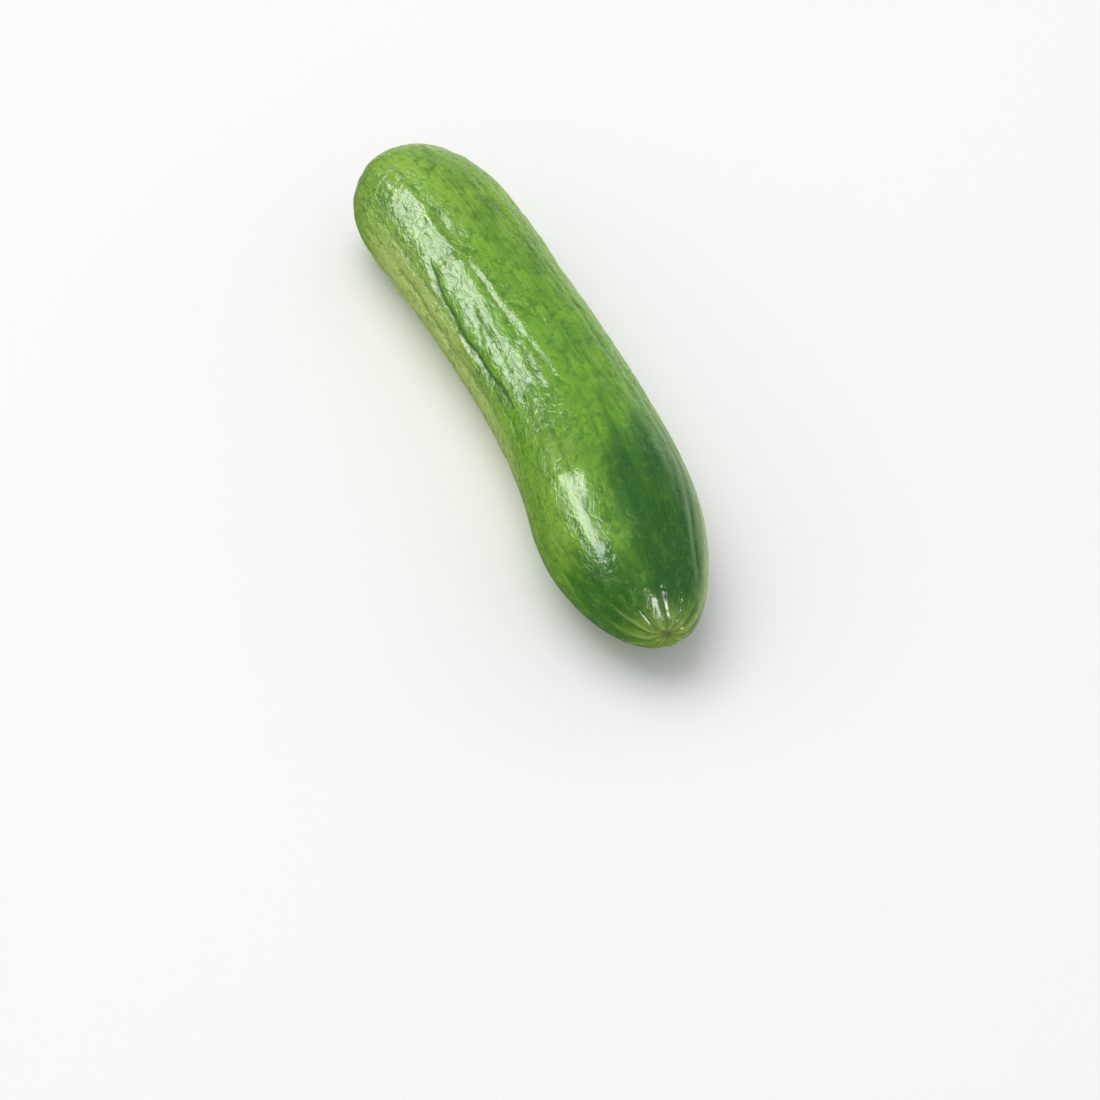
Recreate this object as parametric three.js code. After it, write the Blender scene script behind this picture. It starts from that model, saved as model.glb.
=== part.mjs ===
// A small smooth-skinned cucumber, as picked, lying on its side on a flat surface.
// Units are millimetres. +X runs from the stem end to the blossom end and +Z is up. The origin
// is on the surface that the fruit lies on, under the middle of it.
// The fruit is one solid. Its skin is a grid of points: one parameter runs along the fruit
// from tip to tip, the other runs round it, and every point comes from the same formula.

import * as THREE from "three";
import { mergeVertices } from "three/addons/utils/BufferGeometryUtils.js";

// Length along the bent centre line, from tip to tip
const LENGTH = 143;

// Radius of the trunk at its three main places, before the ends round it off
const STEM_RADIUS = 15.9;
const WAIST_RADIUS = 15.1;
const BLOSSOM_RADIUS = 17.4;
const WAIST_AT = 1; // along the fruit, from its middle
const SWELL_LENGTH = 48; // from the waist to the full blossom radius

// The rounded ends: how far each reaches, and how blunt it is (2 is an ellipse)
const STEM_END = 35;
const STEM_BLUNTNESS = 3.4;
const BLOSSOM_END = 35.5;
const BLOSSOM_BLUNTNESS = 1.93;

// Neither end is even: each tip leans aside and a little down, by these distances
const LEAN_REACH = 36;
const STEM_LEAN = { aside: -2.9, up: -2.2 };
const BLOSSOM_LEAN = { aside: 5, up: -1.4 };

// The fruit bends sideways, so that it lies flat: the heading of the centre line at each tip,
// and the stretch along which it turns from one to the other
const STEM_HEADING = THREE.MathUtils.degToRad(3.4);
const BLOSSOM_HEADING = THREE.MathUtils.degToRad(-15.4);
const BEND_FROM = -22;
const BEND_TO = 66;

// Where the fruit lies, its skin is pressed flat by this much. Its belly is straight between
// the two places given here, and lifts off the surface beyond them.
const FLAT_DEPTH = 0.45;
const BELLY_FROM = -43;
const BELLY_TO = 39;

// Lengthwise ribs, with narrow grooves between them. A crest is the size of a cosine, raised
// to the power CREST_POWER, and CREST_MEAN is about its mean.
const RIBS = 20;
const RIB_DEPTH = 0.24;
const CREST_POWER = 0.8;
const CREST_MEAN = 0.68;

// How deep the ribs are along the fruit: they grow from the stem tip, fade out before the
// blossom tip, and lose a share of their depth in the blossom half
const RIBS_GROW = { from: 3, to: 26 }; // distances from the stem tip
const RIBS_FADE = { from: 6, to: 20 }; // distances from the blossom tip
const RIBS_LOWER = { by: 0.5, from: 10, to: 50 }; // along the fruit, from its middle
const RIB_STRENGTH = { mean: 0.72, swing: 0.28, waves: 3, length: 26, phase: 1.3 };

// The ribs aren't evenly wide: waves round the fruit shift them, by these angles in radians
const RIB_SHIFTS = [
  { angle: 0.06, waves: 2, phase: 0.6 },
  { angle: 0.035, waves: 5, phase: 2.1 },
  { angle: 0.035, waves: RIBS / 2, phase: 0.4 },
];
// They also wind by this angle from tip to tip, and wander to and fro on the way
const RIB_WINDING = 0.1;
const RIB_WANDER = { angle: 0.03, length: 19, waves: 3 };

// Pleats that draw the skin together in a ring round the scar in each tip, one for every two
// ribs. They reach their full height a little way out from the axis.
const BLOSSOM_PLEATS = { depth: 0.8, radius: 6.2, spread: 3.4 };
const STEM_PLEATS = { depth: 0.35, radius: 6.5, spread: 2.6 };
const PLEAT_POWER = 0.5;
const PLEAT_ROOT = 4; // distance from the axis at which they are at full height
const PLEATS_FADE = { from: 3, to: 16 }; // distances from a tip
const PLEAT_STRENGTH = { mean: 0.75, swing: 0.25, waves: 2, phase: 0.8, crossWaves: 3 };

// Scars in the two tips, each a dimple with a raised lip round it
const BLOSSOM_SCAR = { radius: 2.2, depth: 0.9, lipRadius: 3.8, lipHeight: 0.25, lipWidth: 1.3 };
const STEM_SCAR = { radius: 3.0, depth: 0.9, lipRadius: 4.1, lipHeight: 0.4, lipWidth: 1.1 };
const SCARS_FADE = { from: 4, to: 12 }; // distances from a tip

// Slow swells that keep the fruit from being a turned shape. They fade out within this
// distance of the axis, at the tips.
const LOBES = { height: 0.18, count: 3, phase: 0.5 };
const HOLLOWS = { height: 0.2, length: 21, start: 1, count: 2, phase: -0.7 };
const BULGES = { height: 0.12, length: 9.5, count: 2 };
const SWELLS_FADE = 10;

// Size of the grid
const FACES_PER_RIB = 4;
const RINGS = 56;
const TIP_CROWDING = 0.62; // 0 spaces the rings evenly, 1 crowds them wholly into the tips
const OUTLINE_SAMPLES = 240;
const CENTRE_STEPS = 73;
const CURVE_DIVISIONS = 2000; // steps in which the length of each curve is measured
const MERGE_DISTANCE = 1e-3;

// The skin is green and shines
const SKIN_GREEN = "#5f8f35";
const SKIN_ROUGHNESS = 0.28;

// 0 below low, 1 above high, and a smooth step in between
const rise = (x, low, high) => THREE.MathUtils.smoothstep(x, low, high);

// A bell of height 1 around centre
const bell = (x, centre, width) => Math.exp(-(((x - centre) / width) ** 2));

// Factor that rounds off an end: 0 at the tip, 1 from reach inwards, on a superellipse.
function roundedEnd(fromTip, reach, bluntness) {
  const inward = THREE.MathUtils.clamp(fromTip / reach, 0, 1);
  return (1 - (1 - inward) ** bluntness) ** (1 / bluntness);
}

// Radius of the smooth fruit at a distance along it from its middle.
function smoothRadius(along) {
  const towardsWaist = rise(along, -LENGTH / 2, WAIST_AT);
  const swell = rise(along, WAIST_AT, WAIST_AT + SWELL_LENGTH);
  const trunk =
    THREE.MathUtils.lerp(STEM_RADIUS, WAIST_RADIUS, towardsWaist) +
    (BLOSSOM_RADIUS - WAIST_RADIUS) * swell;
  return (
    trunk *
    roundedEnd(along + LENGTH / 2, STEM_END, STEM_BLUNTNESS) *
    roundedEnd(LENGTH / 2 - along, BLOSSOM_END, BLOSSOM_BLUNTNESS)
  );
}

// The outline that would turn into the smooth fruit: x is along it, y is the radius.
function smoothOutline() {
  const points = [];
  for (let i = 0; i <= OUTLINE_SAMPLES; i += 1) {
    const along = (-LENGTH / 2) * Math.cos((Math.PI * i) / OUTLINE_SAMPLES);
    points.push(new THREE.Vector2(along, smoothRadius(along)));
  }
  const outline = new THREE.SplineCurve(points);
  outline.arcLengthDivisions = CURVE_DIVISIONS;
  return outline;
}

// The bent centre line, in a level plane: short steps, each one along the heading there.
function bentCentreLine() {
  const place = new THREE.Vector3(-LENGTH / 2, 0, 0);
  const places = [place.clone()];
  const step = LENGTH / CENTRE_STEPS;
  for (let i = 0; i < CENTRE_STEPS; i += 1) {
    const along = (i + 0.5) * step - LENGTH / 2;
    const turned = rise(along, BEND_FROM, BEND_TO);
    const heading = THREE.MathUtils.lerp(STEM_HEADING, BLOSSOM_HEADING, turned);
    place.x += step * Math.cos(heading);
    place.y += step * Math.sin(heading);
    places.push(place.clone());
  }
  const centreLine = new THREE.CatmullRomCurve3(places);
  centreLine.arcLengthDivisions = CURVE_DIVISIONS;
  return centreLine;
}

// Angle round the fruit, counted from sideways and positive upwards, of a place in the rib
// pattern.
function angleRound(turn, along) {
  let shift = RIB_WINDING * (along / LENGTH);
  for (const { angle, waves, phase } of RIB_SHIFTS) {
    shift += angle * Math.sin(waves * turn + phase);
  }
  const wander = Math.sin(along / RIB_WANDER.length + RIB_WANDER.waves * turn);
  return turn + shift + RIB_WANDER.angle * wander;
}

// Rounded crests with narrow grooves between them, going round the fruit.
function crests(count, turn, power) {
  return Math.abs(Math.cos((count / 2) * turn)) ** power - CREST_MEAN;
}

// Height of the ribs over the smooth fruit. Some stand higher than others.
function ribHeight(turn, along) {
  const { mean, swing, waves, length, phase } = RIB_STRENGTH;
  const strength = mean + swing * Math.sin(waves * turn + along / length + phase);
  const grown = rise(along + LENGTH / 2, RIBS_GROW.from, RIBS_GROW.to);
  const kept = rise(LENGTH / 2 - along, RIBS_FADE.from, RIBS_FADE.to);
  const lower = 1 - RIBS_LOWER.by * rise(along, RIBS_LOWER.from, RIBS_LOWER.to);
  return RIB_DEPTH * strength * lower * grown * kept * crests(RIBS, turn, CREST_POWER);
}

// Height of the pleats in a tip, at a distance from it and from the fruit's axis. Some pleats
// are deeper than others.
function pleatHeight(pleats, turn, fromTip, fromAxis) {
  const { mean, swing, waves, phase, crossWaves } = PLEAT_STRENGTH;
  const strength = mean + swing * Math.sin(waves * turn + phase) * Math.cos(crossWaves * turn);
  const ring = bell(fromAxis, pleats.radius, pleats.spread) * rise(fromAxis, 0, PLEAT_ROOT);
  const fading = ring * (1 - rise(fromTip, PLEATS_FADE.from, PLEATS_FADE.to));
  return pleats.depth * strength * fading * crests(RIBS / 2, turn, PLEAT_POWER);
}

// Height of the slow swells: soft lobes, and broad hollows and bulges that change along the
// fruit.
function swellHeight(angle, along) {
  const lobes = LOBES.height * Math.cos(LOBES.count * angle + LOBES.phase);
  const deeper = HOLLOWS.height * Math.sin(along / HOLLOWS.length + HOLLOWS.start);
  const hollows = deeper * Math.cos(HOLLOWS.count * angle + HOLLOWS.phase);
  const bulges = BULGES.height * Math.sin(along / BULGES.length + BULGES.count * angle);
  return lobes + hollows + bulges;
}

// Height of a scar over the smooth tip, at a distance from the fruit's axis.
function scarHeight(scar, fromAxis) {
  const dimple = -scar.depth * bell(fromAxis, 0, scar.radius);
  const lip = scar.lipHeight * bell(fromAxis, scar.lipRadius, scar.lipWidth);
  return dimple + lip;
}

// Height of everything that stands over or lies under the smooth fruit.
function relief(turn, angle, along, fromAxis) {
  const fromTip = LENGTH / 2 - Math.abs(along);
  const pleats = along < 0 ? STEM_PLEATS : BLOSSOM_PLEATS;
  const scar = along < 0 ? STEM_SCAR : BLOSSOM_SCAR;
  return (
    ribHeight(turn, along) +
    pleatHeight(pleats, turn, fromTip, fromAxis) +
    swellHeight(angle, along) * rise(fromAxis, 0, SWELLS_FADE) +
    scarHeight(scar, fromAxis) * (1 - rise(fromTip, SCARS_FADE.from, SCARS_FADE.to))
  );
}

// One point of the skin. lengthwise runs from 0 at the stem tip to 1 at the blossom tip, and
// turn runs once round the rib pattern.
function skinPoint(outline, centreLine, lengthwise, turn) {
  const crowding = (TIP_CROWDING * Math.sin(2 * Math.PI * lengthwise)) / (2 * Math.PI);
  const share = THREE.MathUtils.clamp(lengthwise - crowding, 0, 1);
  const { x: along, y: radius } = outline.getPointAt(share);
  const slope = outline.getTangentAt(share);
  const angle = angleRound(turn, along);
  const height = relief(turn, angle, along, radius);
  // The height is measured along the smooth fruit's own normal, and at a tip that is the axis.
  const atTip = lengthwise <= 0 || lengthwise >= 1;
  const outward = atTip ? 0 : radius + height * slope.x;
  const forward = along - height * (atTip ? -Math.sign(along) : slope.y);
  // A lip can stand out past the end of the centre line.
  const onLine = THREE.MathUtils.clamp(forward, -LENGTH / 2, LENGTH / 2);
  const centre = centreLine.getPointAt(onLine / LENGTH + 0.5);
  const heading = centreLine.getTangentAt(onLine / LENGTH + 0.5);
  centre.addScaledVector(heading, forward - onLine);
  const sideways = new THREE.Vector3(-heading.y, heading.x, 0);
  const lean = along < 0 ? STEM_LEAN : BLOSSOM_LEAN;
  const leaning = THREE.MathUtils.clamp((Math.abs(along) - LENGTH / 2) / LEAN_REACH + 1, 0, 1) ** 2;
  const belly = smoothRadius(THREE.MathUtils.clamp(along, BELLY_FROM, BELLY_TO));
  centre.y += lean.aside * leaning;
  centre.z = belly - FLAT_DEPTH + lean.up * leaning + outward * Math.sin(angle);
  return centre.addScaledVector(sideways, outward * Math.cos(angle));
}

// The whole skin. A sphere gives the grid, closed at both poles, and each of its points is
// moved to its place on the fruit.
function cucumberGeometry() {
  const outline = smoothOutline();
  const centreLine = bentCentreLine();
  const grid = new THREE.SphereGeometry(1, RIBS * FACES_PER_RIB, RINGS);
  const places = grid.getAttribute("position");
  const uv = grid.getAttribute("uv");
  const rowLength = RIBS * FACES_PER_RIB + 1;
  for (let i = 0; i < places.count; i += 1) {
    const column = i % rowLength;
    const turn = -(2 * Math.PI * (column % (rowLength - 1))) / (rowLength - 1);
    const point = skinPoint(outline, centreLine, 1 - uv.getY(i), turn);
    places.setXYZ(i, point.x, point.y, Math.max(point.z, 0));
  }
  grid.deleteAttribute("normal");
  grid.deleteAttribute("uv");
  const skin = mergeVertices(grid, MERGE_DISTANCE);
  skin.computeBoundingBox();
  const middle = skin.boundingBox.getCenter(new THREE.Vector3());
  skin.translate(-middle.x, -middle.y, 0);
  skin.computeVertexNormals();
  return skin;
}

const cucumber = new THREE.Mesh(
  cucumberGeometry(),
  new THREE.MeshStandardMaterial({ color: SKIN_GREEN, roughness: SKIN_ROUGHNESS, metalness: 0 }),
);
cucumber.name = "cucumber";

const part = new THREE.Group();
part.add(cucumber);

export default part;
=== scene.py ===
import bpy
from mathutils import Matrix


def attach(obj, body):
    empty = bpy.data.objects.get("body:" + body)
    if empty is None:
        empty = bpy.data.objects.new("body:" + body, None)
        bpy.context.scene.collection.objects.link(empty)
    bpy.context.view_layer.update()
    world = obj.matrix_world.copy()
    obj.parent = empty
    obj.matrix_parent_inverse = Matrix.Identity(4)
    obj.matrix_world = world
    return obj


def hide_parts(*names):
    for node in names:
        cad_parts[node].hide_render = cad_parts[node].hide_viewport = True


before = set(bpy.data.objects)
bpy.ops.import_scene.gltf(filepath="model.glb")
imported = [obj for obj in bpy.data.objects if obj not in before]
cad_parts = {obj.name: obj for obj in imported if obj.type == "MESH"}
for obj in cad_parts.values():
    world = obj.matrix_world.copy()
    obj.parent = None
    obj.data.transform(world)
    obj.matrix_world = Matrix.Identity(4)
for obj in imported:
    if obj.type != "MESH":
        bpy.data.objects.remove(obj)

"""A small smooth-skinned cucumber, as picked, lying on its side on a pale floor.

The skin is one closed surface over a grid: one parameter runs along the fruit from the stem tip
to the blossom tip, the other runs round it. Sizes are in millimetres until the mesh is made.
"""

import logging
import math
from dataclasses import dataclass, field
from enum import Enum

import bpy
import numpy as np
from mathutils import Vector

MM = 0.001
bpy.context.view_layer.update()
LOG = logging.getLogger("cucumber")

FRUIT_MIDDLE = (0.0, 0.0, 0.016)

Colour = tuple[float, float, float]
Place = tuple[float, float, float]
Array = np.ndarray


class Side(Enum):
    """The two ends of the fruit."""

    STEM = "stem"
    BLOSSOM = "blossom"


def rise(x: Array, low: float, high: float) -> Array:
    """A smooth step, 0 below low and 1 above high: three times the square less twice the cube.

    Args:
        x: Where to read the step.
        low: Where it starts.
        high: Where it ends.

    Returns:
        The step at each x.
    """
    share = np.clip((x - low) / (high - low), 0.0, 1.0)
    return share * share * (3.0 - 2.0 * share)


def bell(x: Array, centre: float, width: float) -> Array:
    """A bell of height 1 round centre: the exponential of minus the square of the distance.

    Args:
        x: Where to read the bell.
        centre: Where it stands.
        width: How far out it has fallen to about a third.

    Returns:
        The bell at each x.
    """
    return np.exp(-(((x - centre) / width) ** 2))


def between(middle: Array | float, angle: Array) -> Array:
    """Angle from one direction to another by the shorter way round, from minus pi to pi."""
    return (angle - middle + np.pi) % (2 * np.pi) - np.pi


@dataclass(frozen=True)
class Wave:
    """A sine wave round the fruit that may also shift along it."""

    size: float
    count: float
    phase: float = 0.0
    length: float = math.inf

    def at(self, turn: Array, along: Array | float = 0.0) -> Array:
        """The size times the sine of count turns, the distance over the length, and the phase."""
        return self.size * np.sin(self.count * turn + along / self.length + self.phase)


class SoftNoise:
    """Smooth random hills and hollows in space, the same at every run."""

    def __init__(self, seed: int, cells: int = 64) -> None:
        """Fills a lattice that repeats after that many cells with random heights from -1 to 1."""
        self.cells = cells
        self.lattice = np.random.default_rng(seed).uniform(-1.0, 1.0, (cells, cells, cells))

    def at(self, place: Array) -> Array:
        """Height at each place: the eight lattice heights round it, blended by smooth steps.

        Args:
            place: Points, with x, y and z in the last axis, one cell being 1 long.

        Returns:
            The heights, from -1 to 1.
        """
        low = np.floor(place).astype(int)
        share = place - low
        share = share * share * (3.0 - 2.0 * share)
        total = np.zeros(place.shape[:-1])
        for corner in np.ndindex(2, 2, 2):
            step = np.array(corner)
            cell = (low + step) % self.cells
            weight = np.prod(np.where(step == 1, share, 1.0 - share), axis=-1)
            total += weight * self.lattice[cell[..., 0], cell[..., 1], cell[..., 2]]
        return total


@dataclass(frozen=True)
class Trunk:
    """Sizes of the smooth fruit, before ribs, pleats and scars."""

    length: float = 143.0
    stem_radius: float = 15.9
    waist_radius: float = 15.1
    blossom_radius: float = 17.4
    waist_at: float = 1.0
    swell_length: float = 48.0
    stem_end: float = 35.0
    stem_bluntness: float = 3.4
    blossom_end: float = 35.5
    blossom_bluntness: float = 1.93
    lean_reach: float = 36.0
    stem_lean: tuple[float, float] = (-2.9, -2.2)
    blossom_lean: tuple[float, float] = (5.0, -1.4)
    stem_heading: float = math.radians(3.4)
    blossom_heading: float = math.radians(-15.4)
    centre_steps: int = 1460
    outline_steps: int = 6000
    bend_from: float = -22.0
    bend_to: float = 66.0
    flat_depth: float = 0.45
    belly_from: float = -43.0
    belly_to: float = 39.0

    def rounded_end(self, from_tip: Array, reach: float, bluntness: float) -> Array:
        """Factor that rounds off an end on a superellipse: 0 at the tip, 1 from reach inwards."""
        inward = np.clip(from_tip / reach, 0.0, 1.0)
        return np.maximum(1.0 - (1.0 - inward) ** bluntness, 0.0) ** (1.0 / bluntness)

    def radius(self, along: Array) -> Array:
        """Radius at a distance along the fruit from its middle.

        The trunk narrows from the stem radius to the waist and swells to the blossom radius, each
        by a smooth step, and the two rounded ends multiply it.

        Args:
            along: Distances along the fruit.

        Returns:
            The radius at each.
        """
        half = self.length / 2
        to_waist = rise(along, -half, self.waist_at)
        swell = rise(along, self.waist_at, self.waist_at + self.swell_length)
        trunk = self.stem_radius + (self.waist_radius - self.stem_radius) * to_waist
        trunk = trunk + (self.blossom_radius - self.waist_radius) * swell
        stem = self.rounded_end(along + half, self.stem_end, self.stem_bluntness)
        blossom = self.rounded_end(half - along, self.blossom_end, self.blossom_bluntness)
        return trunk * stem * blossom

    def outline(self, lengthwise: Array, crowding: float) -> tuple[Array, Array, Array, Array]:
        """The curve that would turn into the smooth fruit, at even steps of arc length.

        Args:
            lengthwise: 0 at the stem tip to 1 at the blossom tip.
            crowding: 0 spaces the places evenly, 1 crowds them wholly into the tips.

        Returns:
            Distance along, radius, and the two parts of the curve's unit tangent.
        """
        fine = -np.cos(np.linspace(0.0, np.pi, self.outline_steps + 1)) * self.length / 2
        radius = self.radius(fine)
        arc = np.concatenate([[0.0], np.cumsum(np.hypot(np.diff(fine), np.diff(radius)))])
        share = lengthwise - crowding * np.sin(2 * np.pi * lengthwise) / (2 * np.pi)
        place = np.clip(share, 0.0, 1.0) * arc[-1]
        along = np.interp(place, arc, fine)
        slope_x = np.interp(place, arc, np.gradient(fine, arc))
        slope_r = np.interp(place, arc, np.gradient(radius, arc))
        size = np.hypot(slope_x, slope_r)
        return along, np.interp(place, arc, radius), slope_x / size, slope_r / size

    def lean(self, along: Array) -> tuple[Array, Array]:
        """How far a place near a tip leans aside and up: the square of its share of the reach.

        Args:
            along: Distances along the fruit.

        Returns:
            How far each leans aside, and how far up.
        """
        share = np.clip((np.abs(along) - self.length / 2) / self.lean_reach + 1.0, 0.0, 1.0) ** 2
        stem, blossom = self.stem_lean, self.blossom_lean
        aside = np.where(along < 0, stem[0], blossom[0]) * share
        return aside, np.where(along < 0, stem[1], blossom[1]) * share

    def centre_line(self, along: Array) -> tuple[Array, Array, Array]:
        """The bent centre line in the level plane, summed from short steps along its heading.

        Args:
            along: Distances along the line, from its middle.

        Returns:
            X, Y and the heading there. Past the tips the line runs straight on.
        """
        half = self.length / 2
        steps = np.linspace(-half, half, self.centre_steps + 1)
        turned = rise(steps, self.bend_from, self.bend_to)
        heading = self.stem_heading + (self.blossom_heading - self.stem_heading) * turned
        middle = (heading[1:] + heading[:-1]) / 2
        across = np.diff(steps)
        x = np.concatenate([[0.0], np.cumsum(across * np.cos(middle))]) - half
        y = np.concatenate([[0.0], np.cumsum(across * np.sin(middle))])
        inside = np.clip(along, -half, half)
        past = along - inside
        there = np.interp(inside, steps, heading)
        return (
            np.interp(inside, steps, x) + past * np.cos(there),
            np.interp(inside, steps, y) + past * np.sin(there),
            there,
        )


@dataclass(frozen=True)
class Pleats:
    """Folds that draw the skin together round the scar in a tip."""

    depth: float
    radius: float
    spread: float
    reach: float = 16.0


@dataclass(frozen=True)
class Scar:
    """A dimple in a tip, with a raised lip round it."""

    radius: float
    depth: float
    lip_radius: float
    lip_height: float
    lip_width: float

    def height(self, from_axis: Array) -> Array:
        """The lip's bell less the dimple's bell, at a distance from the fruit's axis."""
        dimple = -self.depth * bell(from_axis, 0.0, self.radius)
        return dimple + self.lip_height * bell(from_axis, self.lip_radius, self.lip_width)


@dataclass(frozen=True)
class Fold:
    """A crease or a raised line that runs lengthwise through a few places on the skin."""

    along: tuple[float, ...]
    degrees: tuple[float, ...]
    rise_by: float
    width: float
    fade: float = 6.0

    def height(self, angle: Array, along: Array, radius: Array) -> Array:
        """The bell of the distance across the line, faded in and out at its ends.

        Two sines along the fruit make the line wander to and fro.

        Args:
            angle: Angle round the fruit.
            along: Distance along it from its middle.
            radius: Radius of the smooth fruit.

        Returns:
            Height over the skin, below 0 in a crease.
        """
        wander = 0.175 * np.sin(along / 1.9) + 0.25 * np.sin(along / 5.3 + 1.0)
        middle = np.radians(np.interp(along, self.along, self.degrees))
        start, end = self.along[0], self.along[-1]
        ends = rise(along, start, start + self.fade) * (1 - rise(along, end - self.fade, end))
        across = radius * between(middle, angle) + wander
        return self.rise_by * bell(across, 0.0, self.width) * ends


@dataclass(frozen=True)
class Bulge:
    """A low oval swelling of the skin, or a hollow where its height is below 0."""

    along: float
    degrees: float
    rise_by: float
    length: float
    width: float

    def height(self, angle: Array, along: Array, radius: Array) -> Array:
        """Height over the skin: the product of two bells, along the fruit and round it."""
        across = radius * between(math.radians(self.degrees), angle)
        return self.rise_by * bell(along, self.along, self.length) * bell(across, 0.0, self.width)


@dataclass
class Skin:
    """Relief of the skin over the smooth fruit."""

    trunk: Trunk = field(default_factory=Trunk)
    ribs: int = 20
    rib_shifts: tuple[Wave, ...] = (
        Wave(0.06, 2, 0.6), Wave(0.035, 5, 2.1), Wave(0.035, 10, 0.4), Wave(0.03, 3, 0.0, 19.0),
    )
    rib_winding: float = 0.1
    rib_strength: Wave = Wave(0.28, 3, 1.3, 26.0)
    rib_depth: float = 0.24
    rib_power: float = 0.8
    crest_mean: float = 0.68
    pleat_shifts: tuple[Wave, ...] = (
        Wave(0.08, 2, -0.63), Wave(0.06, 3, -2.51), Wave(0.03, 4, 0.0, 1.25),
    )
    pleat_power: float = 0.5
    lobe_height: float = 0.18
    hollow_depth: float = 0.20
    roll_height: float = 0.12
    pleats: dict[Side, Pleats] = field(default_factory=lambda: {
        Side.STEM: Pleats(0.35, 6.5, 2.6),
        Side.BLOSSOM: Pleats(0.8, 6.2, 3.4),
    })
    scars: dict[Side, Scar] = field(default_factory=lambda: {
        Side.STEM: Scar(3.0, 0.9, 4.1, 0.4, 1.1),
        Side.BLOSSOM: Scar(2.2, 0.9, 3.8, 0.25, 1.3),
    })
    wrinkle_height: float = 0.17
    wrinkle_cell: tuple[float, float, float] = (4.6, 2.6, 2.6)
    furrow_depth: float = 0.10
    furrow_width: float = 0.22
    furrow_cell: tuple[float, float, float] = (2.7, 2.0, 2.0)
    winding: float = 0.8
    winding_cell: float = 3.6
    pimple_height: float = 0.04
    pimple_cell: float = 1.15
    blossom_calm: float = 0.66
    folds: tuple[Fold, ...] = (
        # The long crease, and the raised line beside the highlight with its groove.
        Fold((-37, -31, -24, -14, -2, 12), (138, 142, 148, 151, 152, 146), -0.45, 0.8),
        Fold((-29, -24, -14, 2, 14), (110, 109, 106, 103, 98), 0.24, 0.5),
        Fold((-28, -24, -14, 2, 12), (115, 114, 111, 108, 104), -0.14, 0.6),
        # A raised line in the stem end's highlight, and a thin crease along the shaded side.
        Fold((-60, -48, -40, -30), (112, 115, 117, 118), 0.25, 0.9),
        Fold((2, 12, 28, 39, 53, 66), (40, 38, 37, 37, 38, 30), -0.22, 0.8),
        # Fainter ones round the rest of the fruit.
        Fold((-50, -30, -10), (62, 60, 57), -0.16, 1),
        Fold((-45, -20, 5), (168, 172, 170), -0.22, 0.9),
        Fold((-40, -15, 20, 45), (252, 256, 250, 247), -0.20, 1),
        Fold((-20, 5, 40), (205, 209, 212), 0.22, 1),
    )
    bulges: tuple[Bulge, ...] = (
        Bulge(-49, 104, 0.50, 12, 5.5),
        Bulge(43, 104, 0.30, 11, 6),
        Bulge(28.5, 134.5, 0.40, 8.5, 4),
        Bulge(51.5, 125.5, 0.22, 10.5, 4.2),
        Bulge(-29.5, 125, 0.34, 1.8, 3.2),
        Bulge(-26.8, 110.5, 0.55, 1.7, 2.4),
        Bulge(-34.5, 124, -0.14, 2.4, 3),
        Bulge(22, 126, -0.12, 2.6, 4),
        Bulge(-12, 20, 0.20, 3, 2.4),
        Bulge(14, 215, 0.26, 2.6, 2.2),
        Bulge(-38, 235, 0.24, 2.2, 2.6),
    )
    broad: SoftNoise = field(default_factory=lambda: SoftNoise(11))
    small: SoftNoise = field(default_factory=lambda: SoftNoise(12))

    def angle_round(self, turn: Array, along: Array) -> Array:
        """Angle round the fruit of a turn in the rib pattern: slow waves bend and wind the ribs."""
        shift = sum(wave.at(turn, along) for wave in self.rib_shifts)
        return turn + shift + self.rib_winding * along / self.trunk.length

    def crests(self, count: float, turn: Array, power: float) -> Array:
        """Rounded crests with narrow grooves: the size of a cosine to a power, less its mean."""
        return np.abs(np.cos((count / 2) * turn)) ** power - self.crest_mean

    def rib_height(self, turn: Array, along: Array) -> Array:
        """The crests times a depth that fades at the ends and is halved in the blossom half.

        Args:
            turn: Turn round the rib pattern.
            along: Distance along the fruit from its middle.

        Returns:
            Height over the smooth fruit.
        """
        half = self.trunk.length / 2
        strength = 1.0 - self.rib_strength.size + self.rib_strength.at(turn, along)
        over_ends = rise(along, -half + 3, -half + 26) * (1 - rise(along, half - 20, half - 6))
        lower = 1 - 0.5 * rise(along, 10, 50)
        depth = self.rib_depth * strength * lower * over_ends
        return depth * self.crests(self.ribs, turn, self.rib_power)

    def pleat_turn(self, turn: Array, from_axis: Array) -> Array:
        """Turn in the pattern of the pleats: slow waves make them uneven, and let them sway."""
        return turn + sum(wave.at(turn, from_axis) for wave in self.pleat_shifts)

    def pleat_height(self, side: Side, turn: Array, from_tip: Array, from_axis: Array) -> Array:
        """Half as many crests as ribs, in a bell-shaped ring round the scar.

        Args:
            side: End of the fruit that they are in.
            turn: Turn round the rib pattern.
            from_tip: Distance from the tip, along the fruit.
            from_axis: Distance from the fruit's axis.

        Returns:
            Height over the smooth fruit.
        """
        pleats = self.pleats[side]
        uneven = 0.75 + 0.25 * np.sin(2 * turn + 0.8) * np.cos(3 * turn)
        ring = bell(from_axis, pleats.radius, pleats.spread) * rise(from_axis, 0, 4)
        fading = ring * (1 - rise(from_tip, 3, pleats.reach))
        shifted = self.pleat_turn(turn, from_axis)
        crests = self.crests(self.ribs / 2, shifted, self.pleat_power)
        return pleats.depth * uneven * fading * crests

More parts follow.
